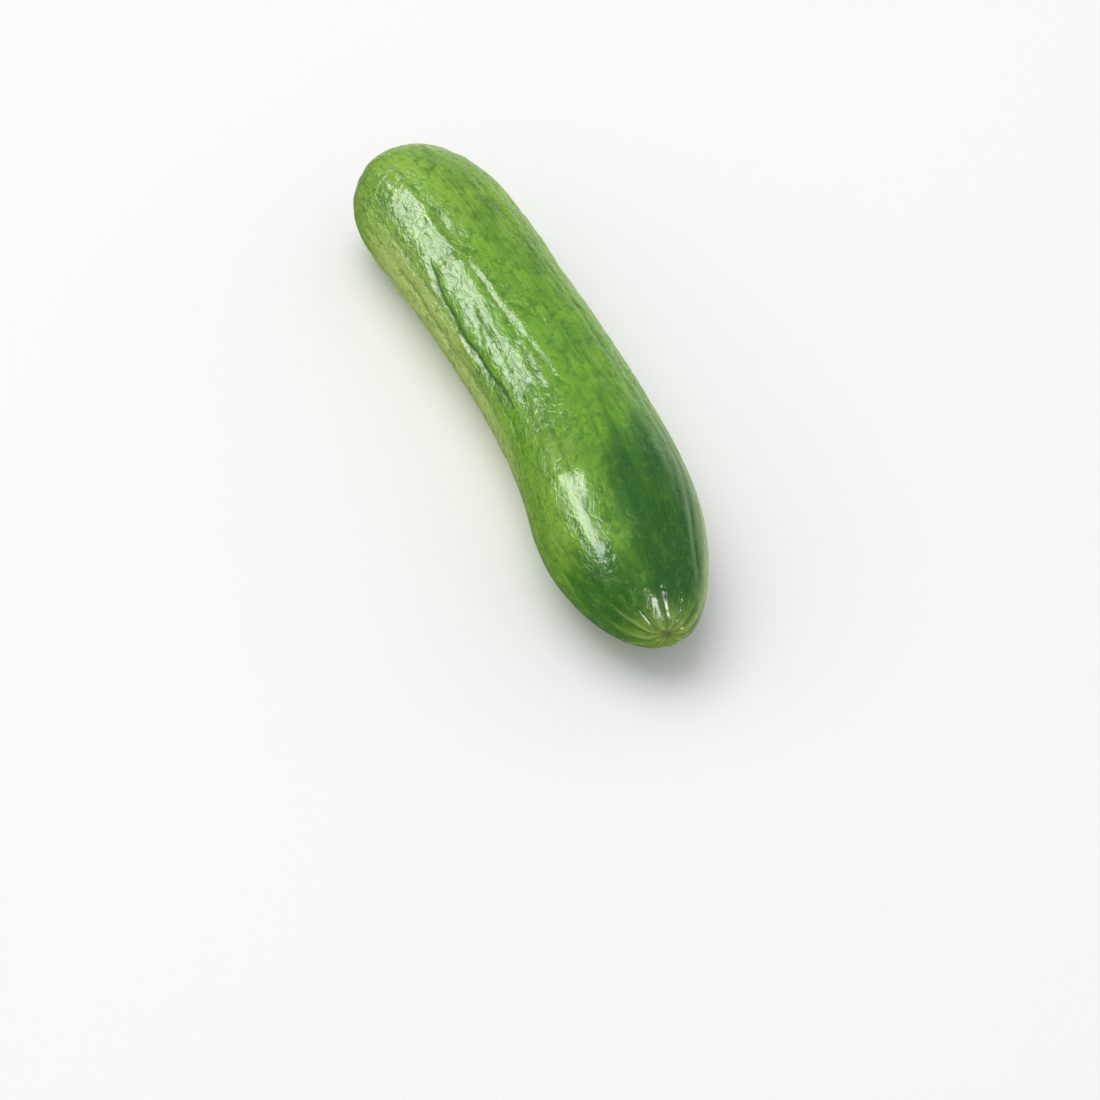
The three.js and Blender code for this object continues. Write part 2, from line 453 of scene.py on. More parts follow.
    def swell_height(self, angle: Array, along: Array) -> Array:
        """Three soft lobes, and broad hollows and rolls that change along the fruit.

        Each is a sine or cosine of the angle, and the last two also of the distance along.

        Args:
            angle: Angle round the fruit.
            along: Distance along it from its middle.

        Returns:
            Height over the smooth fruit.
        """
        lobes = self.lobe_height * np.cos(3 * angle + 0.5)
        hollows = self.hollow_depth * np.sin(along / 21 + 1) * np.cos(2 * angle - 0.7)
        rolls = self.roll_height * np.sin(along / 9.5 + 2 * angle)
        return lobes + hollows + rolls

    def wrinkle_field(self, straight: Array, along: Array, from_axis: Array) -> Array:
        """Low wrinkles, thin winding furrows and pimples from soft noise.

        A furrow lies where a noise passes 0, and is a ramp deep: one less the size of the noise
        over its half-width. Another noise pushes its place about, which makes it wind. All of
        it is stronger in the stem half. A number added to a place makes its noise differ from
        the others.

        Args:
            straight: Places on the fruit as if it were straight, in millimetres.
            along: Distance along the fruit from its middle.
            from_axis: Distance from its axis.

        Returns:
            Height over the skin.
        """
        stretched = straight / np.array(self.wrinkle_cell)
        wrinkles = self.broad.at(stretched + 7.3) + 0.45 * self.small.at(stretched * 1.9 + 3.1)
        shifts = (1.7, 9.4, 17.1)
        pushes = [self.broad.at(straight / self.winding_cell + shift) for shift in shifts]
        place = straight / np.array(self.furrow_cell) + self.winding * np.stack(pushes, axis=-1)
        ramps = 1.0 - np.abs(self.small.at(place + 5.2)) / self.furrow_width
        furrows = np.maximum(ramps, 0.0) ** 1.5
        pimples = self.small.at(straight / self.pimple_cell + 20.7)
        strength = 1.0 - self.blossom_calm * rise(along, 5, 40)
        height = self.wrinkle_height * wrinkles + self.pimple_height * pimples
        height = height - self.furrow_depth * furrows
        return height * strength * rise(from_axis, 1.0, 6.0)

    def relief(self, turn: Array, angle: Array, along: Array, from_axis: Array) -> Array:
        """Height over the smooth fruit of everything that the CAD part shows too.

        Args:
            turn: Turn round the rib pattern.
            angle: Angle round the fruit.
            along: Distance along it from its middle.
            from_axis: Distance from its axis.

        Returns:
            The sum of ribs, swells, pleats and scars.
        """
        from_tip = self.trunk.length / 2 - np.abs(along)
        at_scar = 1 - rise(from_tip, 4, 12)
        ends = {
            side: self.pleat_height(side, turn, from_tip, from_axis)
            + self.scars[side].height(from_axis) * at_scar
            for side in Side
        }
        end = np.where(along < 0, ends[Side.STEM], ends[Side.BLOSSOM])
        swell = self.swell_height(angle, along) * rise(from_axis, 0, 10)
        return self.rib_height(turn, along) + swell + end


@dataclass(frozen=True)
class SkinFinish:
    """Colours and gloss of the skin. Colours are linear red, green and blue."""

    # Painted light: this green makes the stem end lighter and yellower, and also paints light on one
    # side.
    stem_and_painted_light_green: Colour = (0.285, 0.505, 0.054)
    body_green: Colour = (0.180, 0.405, 0.030)
    # Painted light on the pale side of the fruit that the masks call the belly.
    painted_light_green: Colour = (0.550, 0.670, 0.200)
    # Dark mottling, and painted shade on the shaded side and in the blossom half.
    mottle_and_painted_shade_green: Colour = (0.052, 0.185, 0.018)
    # Dark fibres, and painted shade on the shaded side, in the rib grooves and between the pleats.
    fibre_and_painted_shade_green: Colour = (0.016, 0.108, 0.018)
    # Dark squiggles, and painted shade in the creases.
    squiggle_and_painted_shade_green: Colour = (0.030, 0.120, 0.010)
    tip_green: Colour = (0.200, 0.330, 0.045)
    crest_green: Colour = (0.330, 0.460, 0.100)
    # Pale streaks and mottling, and painted highlights on the raised lines.
    streak_and_painted_highlight_green: Colour = (0.260, 0.450, 0.050)
    # A pale band of the skin along the shaded side, which also paints a reflection along the rim.
    stripe_and_rim_reflection_green: Colour = (0.340, 0.480, 0.130)
    speck_green: Colour = (0.340, 0.500, 0.120)
    cork: Colour = (0.290, 0.260, 0.120)
    cork_dark: Colour = (0.085, 0.072, 0.030)
    roughness: float = 0.19
    stem_dullness: float = 0.07
    cork_roughness: float = 0.85
    coat: float = 0.26
    coat_roughness: float = 0.06
    refraction: float = 1.40
    glow: float = 0.05
    glow_radius: Colour = (0.4, 1.0, 0.2)
    glow_scale: float = 0.002
    bump_height: float = 0.00019


class Sketch:
    """Adds shader nodes to one node tree and links them."""

    def __init__(self, tree: bpy.types.NodeTree) -> None:
        """Keeps the tree that the nodes go into."""
        self.tree = tree

    def add(self, kind: str, inputs: dict[str | int, object] | None = None,
            **settings: object) -> bpy.types.Node:
        """Adds a node.

        Args:
            kind: Blender's name of the kind of node.
            inputs: Values or sockets for its inputs, by their names or numbers.
            settings: Its other properties.

        Returns:
            The node.
        """
        node = self.tree.nodes.new(kind)
        for name, value in settings.items():
            setattr(node, name, value)
        for name, value in (inputs or {}).items():
            self.put(node.inputs[name], value)
        return node

    def put(self, socket: bpy.types.NodeSocket, value: object) -> None:
        """Links an input to another node's output, or sets its value.

        Args:
            socket: The input.
            value: A socket, a number, or the three parts of a colour or a vector.
        """
        if isinstance(value, bpy.types.NodeSocket):
            self.tree.links.new(value, socket)
        elif socket.type == "RGBA":
            socket.default_value = (*value, 1.0)
        else:
            socket.default_value = value

    def math(self, operation: str, a: object, b: object = 0.0, clamp: bool = False) -> object:
        """Result of an operation on two values or sockets, kept from 0 to 1 where clamp is set."""
        node = self.add("ShaderNodeMath", {0: a, 1: b}, operation=operation, use_clamp=clamp)
        return node.outputs[0]

    def moved(self, value: object, noise: object, reach: float, clamp: bool = False) -> object:
        """A value plus a noise, which is lowered by its average and multiplied by the reach."""
        push = self.math("MULTIPLY", self.math("SUBTRACT", noise, 0.5), reach)
        return self.math("ADD", value, push, clamp)

    def step(self, value: object, low: float, high: float,
             to: tuple[float, float] = (0.0, 1.0)) -> object:
        """A smooth step where the value goes from low to high, from the one result to the other."""
        inputs = dict(enumerate((value, low, high, *to)))
        return self.add("ShaderNodeMapRange", inputs, interpolation_type="SMOOTHSTEP").outputs[0]

    def mix(self, share: object, a: object, b: object) -> object:
        """Blends two colours: a share of 0 gives the first and a share of 1 the second."""
        return self.add("ShaderNodeMix", {0: share, 6: a, 7: b}, data_type="RGBA").outputs[2]

    def attribute(self, name: str, output: str = "Fac") -> object:
        """Reads an attribute of the mesh, as a number or through its Vector output."""
        return self.add("ShaderNodeAttribute", attribute_name=name).outputs[output]

    def scaled(self, place: object, cells: tuple[float, float]) -> object:
        """A place multiplied by cells in a metre, along the fruit and across it."""
        scale = (cells[0], cells[1], cells[1])
        return self.add("ShaderNodeVectorMath", {0: place, 1: scale}, operation="MULTIPLY").outputs[0]

    def noise(self, place: object, cells: tuple[float, float], detail: float = 2.0,
              roughness: float = 0.5, distortion: float = 0.0) -> object:
        """Value of a noise texture.

        Args:
            place: Where to read it.
            cells: Its cells in a metre, along the fruit and across it.
            detail: Number of finer layers.
            roughness: Strength of the finer layers.
            distortion: How far the noise pushes its own pattern about.

        Returns:
            The value's socket, about 0.5 on average.
        """
        inputs = {
            "Vector": self.scaled(place, cells),
            "Scale": 1.0,
            "Detail": detail,
            "Roughness": roughness,
            "Distortion": distortion,
        }
        return self.add("ShaderNodeTexNoise", inputs).outputs[0]

    def dots(self, place: object, cells: tuple[float, float]) -> object:
        """Distance to the nearest of some scattered points, a Voronoi pattern."""
        inputs = {"Vector": self.scaled(place, cells)}
        return self.add("ShaderNodeTexVoronoi", inputs, feature="F1").outputs["Distance"]

    def lines(self, place: object, cells: tuple[float, float], width: float,
              detail: float = 1.0, winding: float = 0.5) -> object:
        """Thin winding lines, along which a noise is at its middle value.

        Args:
            place: Where to read the noise.
            cells: Its cells in a metre, along the fruit and across it.
            width: How far from the middle value a line has faded out.
            detail: Number of finer layers of the noise.
            winding: How far the noise pushes its own pattern about.

        Returns:
            The mask's socket, 1 on a line and 0 off it.
        """
        value = self.noise(place, cells, detail, distortion=winding)
        off = self.math("ABSOLUTE", self.math("SUBTRACT", value, 0.5))
        return self.step(off, 0.0, width, (1.0, 0.0))


class SkinMaterial:
    """The waxy skin, with its streaks, specks, painted light and shade, and corky scars."""

    def __init__(self, finish: SkinFinish) -> None:
        """Starts the material, with the place on the straight fruit and the mask of the scars.

        Args:
            finish: Its colours and gloss.
        """
        self.finish = finish
        self.material = bpy.data.materials.new("cucumber_skin")
        self.material.use_nodes = True
        self.sketch = Sketch(self.material.node_tree)
        self.shader = self.material.node_tree.nodes["Principled BSDF"]
        self.straight = self.sketch.attribute("straightened", "Vector")
        self.cork = self.cork_mask()

    def build(self) -> bpy.types.Material:
        """Puts the finish on the shader's sockets.

        Returns:
            The finished material.
        """
        inputs = self.shader.inputs
        coat = self.sketch.step(self.cork, 0.0, 1.0, (self.finish.coat, 0.0))
        self.sketch.put(inputs["Base Color"], self.colour())
        self.sketch.put(inputs["Roughness"], self.roughness())
        self.sketch.put(inputs["Coat Weight"], coat)
        self.sketch.put(inputs["Normal"], self.bump())
        inputs["Coat Roughness"].default_value = self.finish.coat_roughness
        inputs["Subsurface Weight"].default_value = self.finish.glow
        inputs["Subsurface Radius"].default_value = self.finish.glow_radius
        inputs["Subsurface Scale"].default_value = self.finish.glow_scale
        inputs["IOR"].default_value = self.finish.refraction
        return self.material

    def cork_mask(self) -> object:
        """The two scars, with a ragged edge.

        Returns:
            The mask's socket: 1 on the stem scar, less on the blossom scar, 0 elsewhere.
        """
        sketch = self.sketch
        ragged = sketch.noise(self.straight, (900.0, 900.0), detail=3.0)
        stem = sketch.moved(sketch.attribute("from_stem"), ragged, 0.0016)
        blossom = sketch.moved(sketch.attribute("from_blossom"), ragged, 0.0016)
        return sketch.math(
            "MAXIMUM",
            sketch.step(stem, 0.0026, 0.0034, (1.0, 0.0)),
            sketch.step(blossom, 0.0007, 0.0020, (0.6, 0.0)),
        )

    def colour(self) -> object:
        """The skin's greens, laid one over the other from the ground up to the scars.

        Returns:
            The colour's socket.
        """
        sketch = self.sketch
        base = self.blossom_tip(self.marks(self.ground()))
        bark = sketch.noise(self.straight, (900.0, 1300.0), detail=4.0)
        stem, blossom = sketch.attribute("from_stem"), sketch.attribute("from_blossom")
        from_tip = sketch.math("MINIMUM", stem, blossom)
        bark = sketch.math("ADD", bark, sketch.step(from_tip, 0.0005, 0.0030, (-0.12, 0.16)))
        bark = sketch.mix(sketch.step(bark, 0.30, 0.75), self.finish.cork_dark, self.finish.cork)
        return sketch.mix(self.cork, base, bark)

    def ground(self) -> object:
        """The broad greens: painted light at the stem end and one side, painted shade on the other
        side and the tip.

        Returns:
            The colour's socket.
        """
        sketch, finish = self.sketch, self.finish
        wander = sketch.noise(self.straight, (28.0, 90.0), detail=3.0)
        ragged = sketch.noise(self.straight, (60.0, 300.0), detail=4.0)
        clouds = sketch.noise(self.straight, (75.0, 130.0), roughness=0.6)
        along = sketch.moved(sketch.attribute("along"), wander, 0.030)
        # Painted light: lighter and yellower towards the stem end.
        base = sketch.mix(sketch.step(along, -0.070, 0.0), finish.stem_and_painted_light_green, finish.body_green)
        base = sketch.mix(sketch.step(clouds, 0.36, 0.55, (0.42, 0.0)), base, finish.mottle_and_painted_shade_green)

        # Painted light: the belly side is paler, most of all in the stem half.
        belly = sketch.moved(sketch.attribute("belly"), ragged, 0.6, clamp=True)
        belly = sketch.math("MULTIPLY", belly, sketch.attribute("belly"))
        base = sketch.mix(sketch.math("MULTIPLY", belly, 0.9), base, finish.painted_light_green)

        # Painted shade: the blossom half a little darker all round.
        base = sketch.mix(sketch.step(along, 0.010, 0.050, (0.0, 0.3)), base, finish.mottle_and_painted_shade_green)
        # Painted light: the side next to the belly is lighter in the blossom half.
        painted_light_flank = sketch.step(ragged, 0.3, 0.7, (0.3, 0.7))
        painted_light_flank = sketch.math("MULTIPLY", sketch.attribute("painted_light_flank"), painted_light_flank)
        base = sketch.mix(painted_light_flank, base, finish.stem_and_painted_light_green)

        # Painted shade: one side deep green from the middle to the blossom tip, and all round near
        # that tip.
        shade = sketch.moved(sketch.attribute("shaded"), wander, 0.7)
        shade = sketch.moved(shade, ragged, 0.5, clamp=True)
        from_here = sketch.step(sketch.moved(along, ragged, 0.034), 0.008, 0.046)
        painted_shade_end = sketch.step(along, 0.048, 0.070, (0.0, 0.70))
        depth = sketch.math("MAXIMUM", sketch.math("MULTIPLY", shade, from_here), painted_shade_end)
        base = sketch.mix(sketch.step(depth, 0.10, 0.50), base, finish.mottle_and_painted_shade_green)
        base = sketch.mix(sketch.step(depth, 0.45, 0.90, (0.0, 0.9)), base, finish.fibre_and_painted_shade_green)

        # A pale band along the shaded side: skin colour and also a painted reflection along the rim.
        stripe_and_rim_reflection = sketch.step(ragged, 0.3, 0.7, (0.4, 0.9))
        stripe_and_rim_reflection = sketch.math("MULTIPLY", sketch.attribute("stripe_and_rim_reflection"), stripe_and_rim_reflection)
        return sketch.mix(stripe_and_rim_reflection, base, finish.stripe_and_rim_reflection_green)

    def marks(self, base: object) -> object:
        """Fibres, mottling, squiggles, specks, painted shade in grooves and creases, painted
        highlights on raised lines.

        Args:
            base: Colour under them.

        Returns:
            The colour's socket.
        """
        sketch, finish = self.sketch, self.finish
        calm = sketch.step(sketch.attribute("shaded"), 0.3, 0.9, (1.0, 0.5))
        # Fewer dark marks where light is painted on the belly side.
        off_painted_light = sketch.step(sketch.attribute("belly"), 0.0, 0.7, (1.0, 0.25))

        fibres = sketch.noise(self.straight, (22.0, 520.0), detail=4.0, roughness=0.6)
        near_blossom = sketch.step(sketch.attribute("from_blossom"), 0.004, 0.060, (0.34, 0.26))
        streaks = sketch.math("MULTIPLY", sketch.step(fibres, 0.50, 0.74), near_blossom)
        base = sketch.mix(sketch.math("MULTIPLY", streaks, calm), base, finish.streak_and_painted_highlight_green)
        fibres = sketch.math("MULTIPLY", sketch.step(fibres, 0.30, 0.47, (0.45, 0.0)), off_painted_light)
        base = sketch.mix(fibres, base, finish.fibre_and_painted_shade_green)

        mottle = sketch.noise(self.straight, (420.0, 640.0), 4.0, roughness=0.62, distortion=0.8)
        base = sketch.mix(sketch.step(mottle, 0.34, 0.50, (0.60, 0.0)), base, finish.mottle_and_painted_shade_green)
        light = sketch.math("MULTIPLY", sketch.step(mottle, 0.52, 0.68, (0.0, 0.32)), calm)
        base = sketch.mix(light, base, finish.streak_and_painted_highlight_green)

        clusters = sketch.step(sketch.noise(self.straight, (75.0, 110.0)), 0.42, 0.62, (0.06, 0.48))
        squiggles = sketch.lines(self.straight, (330.0, 560.0), 0.075, 3.0, 0.6)
        squiggles = sketch.math("MULTIPLY", sketch.math("MULTIPLY", squiggles, clusters), off_painted_light)
        base = sketch.mix(squiggles, base, finish.squiggle_and_painted_shade_green)

        specks = sketch.step(sketch.dots(self.straight, (420.0, 420.0)), 0.10, 0.22, (0.22, 0.0))
        base = sketch.mix(sketch.math("MULTIPLY", specks, calm), base, finish.speck_green)

        # Painted shade: darker in the rib grooves and in the creases.
        groove = sketch.step(sketch.attribute("ribs"), 0.0, 0.45, (0.20, 0.0))
        base = sketch.mix(groove, base, finish.fibre_and_painted_shade_green)
        hollow = sketch.step(sketch.attribute("folded"), -1.0, -0.1, (0.75, 0.0))
        base = sketch.mix(hollow, base, finish.squiggle_and_painted_shade_green)
        # Painted highlight: paler along the raised lines.
        raised = sketch.step(sketch.attribute("folded"), 0.3, 1.1, (0.0, 0.35))
        return sketch.mix(raised, base, finish.streak_and_painted_highlight_green)

    def blossom_tip(self, base: object) -> object:
        """The olive tip, with pale lines along the crests of its pleats and painted shade in the
        grooves between.

        Args:
            base: Colour under them.

        Returns:
            The colour's socket.
        """
        sketch, finish = self.sketch, self.finish
        ragged = sketch.noise(self.straight, (260.0, 500.0), detail=3.0)
        reach = sketch.moved(sketch.attribute("from_blossom"), ragged, 0.006)
        crest = sketch.attribute("pleats")
        base = sketch.mix(sketch.step(reach, 0.0036, 0.0105, (0.80, 0.0)), base, finish.tip_green)
        # Painted shade: darker in the grooves between the pleats near the scar.
        dark = sketch.step(crest, 0.05, 0.35, (0.6, 0.0))
        dark = sketch.math("MULTIPLY", dark, sketch.step(reach, 0.005, 0.010, (1.0, 0.0)))
        base = sketch.mix(dark, base, finish.fibre_and_painted_shade_green)
        pale = sketch.step(crest, 0.93, 0.995)
        pale = sketch.math("MULTIPLY", pale, sketch.step(reach, 0.003, 0.014, (0.95, 0.0)))
        here_and_there = sketch.noise(self.straight, (40.0, 200.0))
        pale = sketch.math("MULTIPLY", pale, sketch.step(here_and_there, 0.44, 0.58, (0.05, 0.9)))
        return sketch.mix(pale, base, finish.crest_green)

    def roughness(self) -> object:
        """Gloss that varies in soft patches, and dry scars.

        Returns:
            The roughness's socket.
        """
        sketch, even = self.sketch, self.finish.roughness
        patches = sketch.noise(self.straight, (120.0, 240.0), detail=4.0)
        skin = sketch.step(patches, 0.3, 0.7, (even - 0.05, even + 0.10))
        duller = (self.finish.stem_dullness, 0.0)
        stem_half = sketch.step(sketch.attribute("along"), 0.0, 0.035, duller)
        skin = sketch.math("ADD", skin, stem_half)
        dry = sketch.math("MULTIPLY", self.cork, self.finish.cork_roughness)
        return sketch.math("MAXIMUM", skin, dry)

    def bump(self) -> object:
        """Fine furrows, waves and grain, weaker in the blossom half, and the rough scars.

        Returns:
            The normal's socket.
        """
        sketch = self.sketch
        waves = sketch.noise(self.straight, (430.0, 600.0), detail=3.0)
        furrows = sketch.lines(self.straight, (360.0, 600.0), 0.14)
        grain = sketch.noise(self.straight, (900.0, 1400.0), detail=4.0)
        bark = sketch.noise(self.straight, (1600.0, 1600.0), detail=5.0)
        height = sketch.math("MULTIPLY", furrows, -0.48)
        height = sketch.math("ADD", height, sketch.math("MULTIPLY", grain, 0.4))
        height = sketch.math("ADD", height, sketch.math("MULTIPLY", waves, 1.5))
        stem_half = sketch.step(sketch.attribute("along"), 0.005, 0.045, (1.0, 0.34))
        height = sketch.math("MULTIPLY", height, stem_half)
        bark = sketch.math("MULTIPLY", sketch.math("MULTIPLY", bark, self.cork), 5.0)
        inputs = {"Height": sketch.math("ADD", height, bark), "Distance": self.finish.bump_height}
        return sketch.add("ShaderNodeBump", inputs).outputs["Normal"]


@dataclass
class Cucumber:
    """The whole fruit, one closed piece that stands for the CAD solid."""

    skin: Skin = field(default_factory=Skin)
    finish: SkinFinish = field(default_factory=SkinFinish)
    columns: int = 256
    rings: int = 370
    crowding: float = 0.4
    fold_unit: float = 0.4

    def surface(self) -> tuple[Array, dict[str, Array]]:
        """Places on the skin for every ring and column, with what the material reads there.

        A point starts on the smooth outline, moves out along the outline's normal by the relief,
        turns round the centre line by its angle, and is pressed flat where it would be below the
        surface that the fruit lies on.

        Returns:
            Points in millimetres, and the values of each attribute.
        """
        skin, half = self.skin, self.skin.trunk.length / 2
        lengthwise = np.linspace(0.0, 1.0, self.rings + 1)[1:-1, None]
        turn = 2 * np.pi * np.arange(self.columns)[None, :] / self.columns
        along, radius, slope_x, slope_r = skin.trunk.outline(lengthwise, self.crowding)
        along, radius, turn = np.broadcast_arrays(along, radius, turn)
        angle = skin.angle_round(turn, along)
        straight = np.stack([along, radius * np.cos(angle), radius * np.sin(angle)], axis=-1)
        folded = sum(fold.height(angle, along, radius) for fold in skin.folds)
        bulged = sum(bulge.height(angle, along, radius) for bulge in skin.bulges)
        height = skin.relief(turn, angle, along, radius)
        height = height + skin.wrinkle_field(straight, along, radius) + folded + bulged
        values = {
            "straightened": straight * MM,
            "along": along * MM,
            "from_stem": np.where(along < 0, np.hypot(radius, along + half), half) * MM,
            "from_blossom": np.where(along > 0, np.hypot(radius, half - along), half) * MM,
            "ribs": np.abs(np.cos((skin.ribs / 2) * turn)),
            "pleats": np.abs(np.cos((skin.ribs / 4) * skin.pleat_turn(turn, radius))),
            "folded": folded / self.fold_unit,
            **self.sides(angle, along),
        }
        return self.placed(along, radius, angle, height, slope_x, slope_r), values

    def sides(self, angle: Array, along: Array) -> dict[str, Array]:
        """How strongly each side of the fruit is painted lighter or darker, by soft steps round and
        along it.

        Painted shade makes the side away from the light deep green, most of all in the blossom half.
        Painted light makes the belly pale, most of all in the stem half, and the side next to it light
        in the blossom half. A pale band along the deep green, a bell round the fruit, is skin colour
        and also a painted reflection along the rim.

        Args:
            angle: Angle round the fruit.
            along: Distance along it from its middle.

        Returns:
            The strengths from 0 to 1, by the names of their attributes.
        """
        # Painted shade on the side away from the light.
        shaded = np.cos(angle - np.radians(5.0 + 12.0 * rise(along, 20.0, 44.0)))
        # Painted light on the belly side.
        belly = np.cos(angle - np.radians(200.0 + 18.0 * rise(along, -34.0, 4.0)))
        painted_light_ends = (0.2 + 0.8 * rise(along, -62.0, -46.0)) * (1.0 - rise(along, 8.0, 66.0))
        # Painted light on the side next to the belly.
        painted_light_flank = np.cos(angle - math.radians(152.0))
        flank_ends = rise(along, 8.0, 34.0) * (1.0 - rise(along, 50.0, 66.0))
        # The pale band along the shaded side, partly a painted reflection along the rim.
        stripe_and_rim_reflection = between(math.radians(10.0), angle)
        stripe_width = np.radians(17.0 - 6.0 * rise(along, 30.0, 52.0))
        return {
            "shaded": rise(shaded, -0.15, 0.45) * (0.35 + 0.65 * rise(along, -20.0, 35.0)),
            "belly": rise(belly, 0.34, 0.88) * painted_light_ends,
            "painted_light_flank": rise(painted_light_flank, 0.55, 0.95) * flank_ends,
            "stripe_and_rim_reflection": bell(stripe_and_rim_reflection / stripe_width, 0.0, 1.0) * rise(along, -25.0, 10.0),
        }

    def placed(self, along: Array, radius: Array, angle: Array, height: Array,
               slope_x: Array, slope_r: Array) -> Array:
        """Carries points of the straight fruit to their places round the bent centre line.

        Args:
            along: Distance along the fruit.
            radius: Radius of the smooth fruit.
            angle: Angle round it, from sideways and positive upwards.
            height: Height over it, along its normal.
            slope_x: Lengthwise part of the outline's tangent.
            slope_r: Radial part of that tangent.

        Returns:
            Points in millimetres.
        """
        trunk = self.skin.trunk
        outward = radius + height * slope_x
        across = outward * np.cos(angle)
        x, y, heading = trunk.centre_line(along - height * slope_r)
        aside, up = trunk.lean(along)
        belly = trunk.radius(np.clip(along, trunk.belly_from, trunk.belly_to))
        x = x - np.sin(heading) * across
        y = y + aside + np.cos(heading) * across
        z = belly - trunk.flat_depth + up + outward * np.sin(angle)
        return np.stack([x, y, np.maximum(z, 0.0)], axis=-1)

    def tip(self, side: Side) -> Array:
        """Place of one tip, sunk by the scar's dimple.

        Args:
            side: Which tip.

        Returns:
            The point in millimetres.
        """
        sign = -1.0 if side is Side.STEM else 1.0
        zero = np.zeros(1)
        along = np.array([sign * self.skin.trunk.length / 2])
        height = self.skin.scars[side].height(zero)
        return self.placed(along, zero, zero, height, zero, np.array([-sign]))[0]

    def tip_values(self) -> dict[str, tuple]:
        """What the material reads at the two tips.

        Returns:
            The values at the stem tip and at the blossom tip, by the names of their attributes.
        """
        half = self.skin.trunk.length / 2 * MM
        return {
            "straightened": ((-half, 0.0, 0.0), (half, 0.0, 0.0)),
            "along": (-half, half),
            "from_stem": (0.0, half),
            "from_blossom": (half, 0.0),
            "ribs": (0.5, 0.5),
            "pleats": (0.5, 0.5),
            "folded": (0.0, 0.0),
            "shaded": (0.5, 0.5),
            "belly": (0.3, 0.0),
            "painted_light_flank": (0.0, 0.0),
            "stripe_and_rim_reflection": (0.0, 0.0),
        }

    def faces(self, rows: int, columns: int) -> list[list[int]]:
        """Quads between the rings and a fan of triangles round each tip, all facing outwards.

        Args:
            rows: Number of rings.
            columns: Number of points in a ring.

        Returns:
            The points of each face. The two tips come after the points of the rings.
        """
        index = np.arange(rows * columns).reshape(rows, columns)
        beside = np.roll(index, -1, axis=1)
        quads = np.stack([index[:-1], beside[:-1], beside[1:], index[1:]], axis=-1).reshape(-1, 4)
        stem = np.full(columns, rows * columns)
        stem_fan = np.stack([stem, beside[0], index[0]], axis=-1)
        blossom_fan = np.stack([stem + 1, index[-1], beside[-1]], axis=-1)
        return quads.tolist() + stem_fan.tolist() + blossom_fan.tolist()

    def build(self) -> bpy.types.Object:
        """Makes the mesh, its attributes and its material.

        Returns:
            The finished piece.
        """
        points, values = self.surface()
        tips = [self.tip(Side.STEM), self.tip(Side.BLOSSOM)]
        vertices = np.concatenate([points.reshape(-1, 3), tips]) * MM
        vertices[:, :2] -= (vertices.min(axis=0) + vertices.max(axis=0))[:2] / 2
        mesh = bpy.data.meshes.new("cucumber_fruit")
        mesh.from_pydata(vertices.tolist(), [], self.faces(*points.shape[:2]))
        at_tips = self.tip_values()
        for name, value in values.items():
            self.store(mesh, name, value, at_tips[name])
        mesh.shade_smooth()
        piece = bpy.data.objects.new("cucumber_fruit", mesh)
        bpy.context.scene.collection.objects.link(piece)
        mesh.materials.append(SkinMaterial(self.finish).build())
        return piece

    def store(self, mesh: bpy.types.Mesh, name: str, value: Array, tips: tuple) -> None:
        """Puts an attribute on the mesh's points.

        Args:
            mesh: The mesh.
            name: The attribute's name.
            value: Its numbers or vectors, ring by ring.
            tips: What it is at the stem tip and at the blossom tip.
        """
        kind, key = ("FLOAT_VECTOR", "vector") if value.ndim == 3 else ("FLOAT", "value")
        attribute = mesh.attributes.new(name, kind, "POINT")
        flat = np.concatenate([value.ravel(), np.ravel(tips)]).astype(np.float32)
        attribute.data.foreach_set(key, flat)


def set_up(thing: bpy.types.Object, place: Place, target: Place) -> None:
    """Puts a light or the camera in the scene, and turns it.

    Args:
        thing: The light or the camera.
        place: Where it stands.
        target: What it looks at.
    """
    thing.location = place
    thing.rotation_euler = (Vector(target) - Vector(place)).to_track_quat("-Z", "Y").to_euler()
    bpy.context.scene.collection.objects.link(thing)


@dataclass(frozen=True)
class SoftBox:
    """A rectangular soft light, aimed at the fruit."""

    name: str
    place: Place
    width: float
    height: float
    power: float
    for_gloss: bool = True
    for_shade: bool = True

    def build(self) -> None:
        """Makes the light, turned towards the fruit's middle."""
        lamp = bpy.data.lights.new(self.name, "AREA")
        lamp.shape = "RECTANGLE"
        lamp.size, lamp.size_y = self.width, self.height
        lamp.energy = self.power
        light = bpy.data.objects.new(self.name, lamp)
        light.visible_glossy = self.for_gloss
        light.visible_diffuse = self.for_shade
        set_up(light, self.place, FRUIT_MIDDLE)


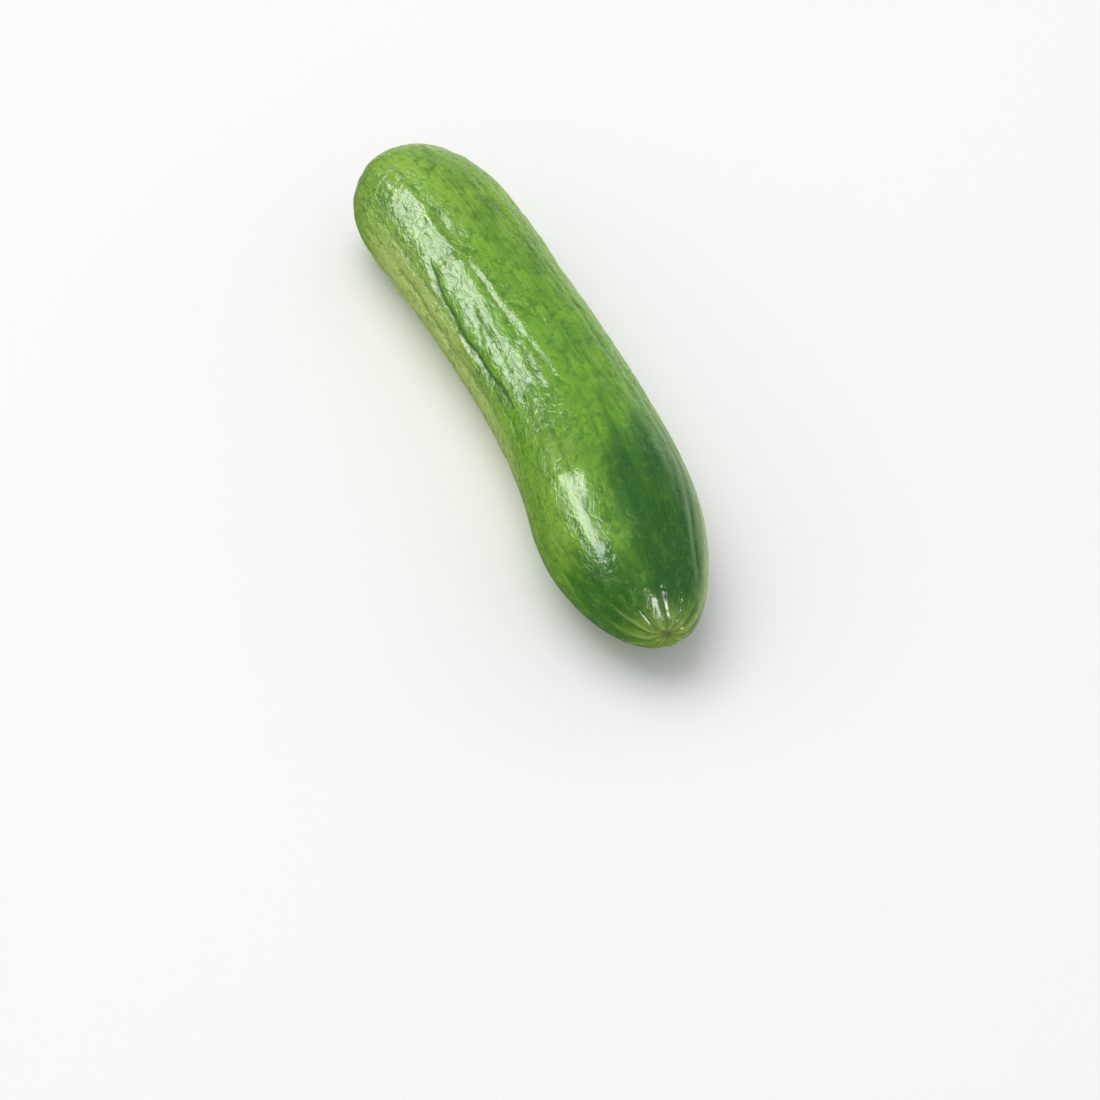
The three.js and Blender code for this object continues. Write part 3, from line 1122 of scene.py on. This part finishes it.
@dataclass(frozen=True)
class Studio:
    """Pale floor, soft lights and the camera."""

    floor_reach: float = 6.0
    floor_colour: Colour = (0.93, 0.93, 0.925)
    floor_roughness: float = 0.9
    floor_by_window: Colour = (0.10, 0.17, 0.06)
    floor_opposite: Colour = (0.75, 0.88, 0.62)
    floor_blend: float = 0.03
    surround: float = 0.65
    reflected_surround: float = 0.25
    camera_place: Place = (0.5521, -0.2436, 0.6862)
    camera_aim: Place = (0.0417, -0.0164, 0.016)
    lens: float = 142.85
    sensor: float = 36.0
    nearest: float = 0.01
    lights: tuple[SoftBox, ...] = (
        SoftBox("window", (-0.40, -0.92, 0.58), 1.26, 0.62, 27.0, for_shade=False),
        SoftBox("front_card", (0.95, -0.22, 0.46), 0.40, 0.30, 9.5, for_shade=False),
        SoftBox("ceiling", (-0.25, -0.15, 1.3), 1.0, 1.0, 8.0, for_gloss=False),
    )

    def build(self) -> None:
        """Makes the floor, the surroundings, the lights and the camera."""
        self.build_floor()
        self.build_surround()
        for light in self.lights:
            light.build()
        self.build_camera()
        bpy.context.scene.view_settings.view_transform = "Standard"

    def build_floor(self) -> None:
        """A large level square that the fruit lies on.

        Reflections on the fruit see it as leaf green on the window's side and as pale green on
        the other side, with a smooth step in between.
        """
        mesh = bpy.data.meshes.new("floor")
        signs = ((-1, -1), (1, -1), (1, 1), (-1, 1))
        corners = [(x * self.floor_reach, y * self.floor_reach, 0.0) for x, y in signs]
        mesh.from_pydata(corners, [], [(0, 1, 2, 3)])
        material = bpy.data.materials.new("floor")
        material.use_nodes = True
        sketch = Sketch(material.node_tree)
        inputs = material.node_tree.nodes["Principled BSDF"].inputs
        place = sketch.add("ShaderNodeTexCoord").outputs["Object"]
        side = sketch.add("ShaderNodeSeparateXYZ", {0: place}).outputs["Y"]
        side = sketch.step(side, -self.floor_blend, self.floor_blend)
        in_reflection = sketch.mix(side, self.floor_by_window, self.floor_opposite)
        glossy = sketch.add("ShaderNodeLightPath").outputs["Is Glossy Ray"]
        sketch.put(inputs["Base Color"], sketch.mix(glossy, self.floor_colour, in_reflection))
        inputs["Roughness"].default_value = self.floor_roughness
        inputs["Specular IOR Level"].default_value = 0.0
        mesh.materials.append(material)
        floor = bpy.data.objects.new("floor", mesh)
        bpy.context.scene.collection.objects.link(floor)

    def build_surround(self) -> None:
        """An even white light from all round, dimmer in the fruit's reflections."""
        world = bpy.data.worlds.new("surround")
        world.use_nodes = True
        sketch = Sketch(world.node_tree)
        inputs = world.node_tree.nodes["Background"].inputs
        inputs["Color"].default_value = (1.0, 1.0, 1.0, 1.0)
        glossy = sketch.add("ShaderNodeLightPath").outputs["Is Glossy Ray"]
        strength = sketch.step(glossy, 0.0, 1.0, (self.surround, self.reflected_surround))
        sketch.put(inputs["Strength"], strength)
        bpy.context.scene.world = world

    def build_camera(self) -> None:
        """The camera, where the photograph was taken from."""
        data = bpy.data.cameras.new("camera")
        data.lens = self.lens
        data.sensor_width = self.sensor
        data.clip_start = self.nearest
        camera = bpy.data.objects.new("camera", data)
        set_up(camera, self.camera_place, self.camera_aim)
        bpy.context.scene.camera = camera


def main() -> None:
    """Builds the fruit and the studio."""
    logging.basicConfig(level=logging.INFO, format="%(name)s: %(message)s")
    piece = Cucumber().build()
    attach(piece, "root")
    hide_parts("cucumber")
    LOG.info("%s: %d points, %d faces", piece.name, len(piece.data.vertices), len(piece.data.polygons))
    Studio().build()


if __name__ == "__main__":
    main()
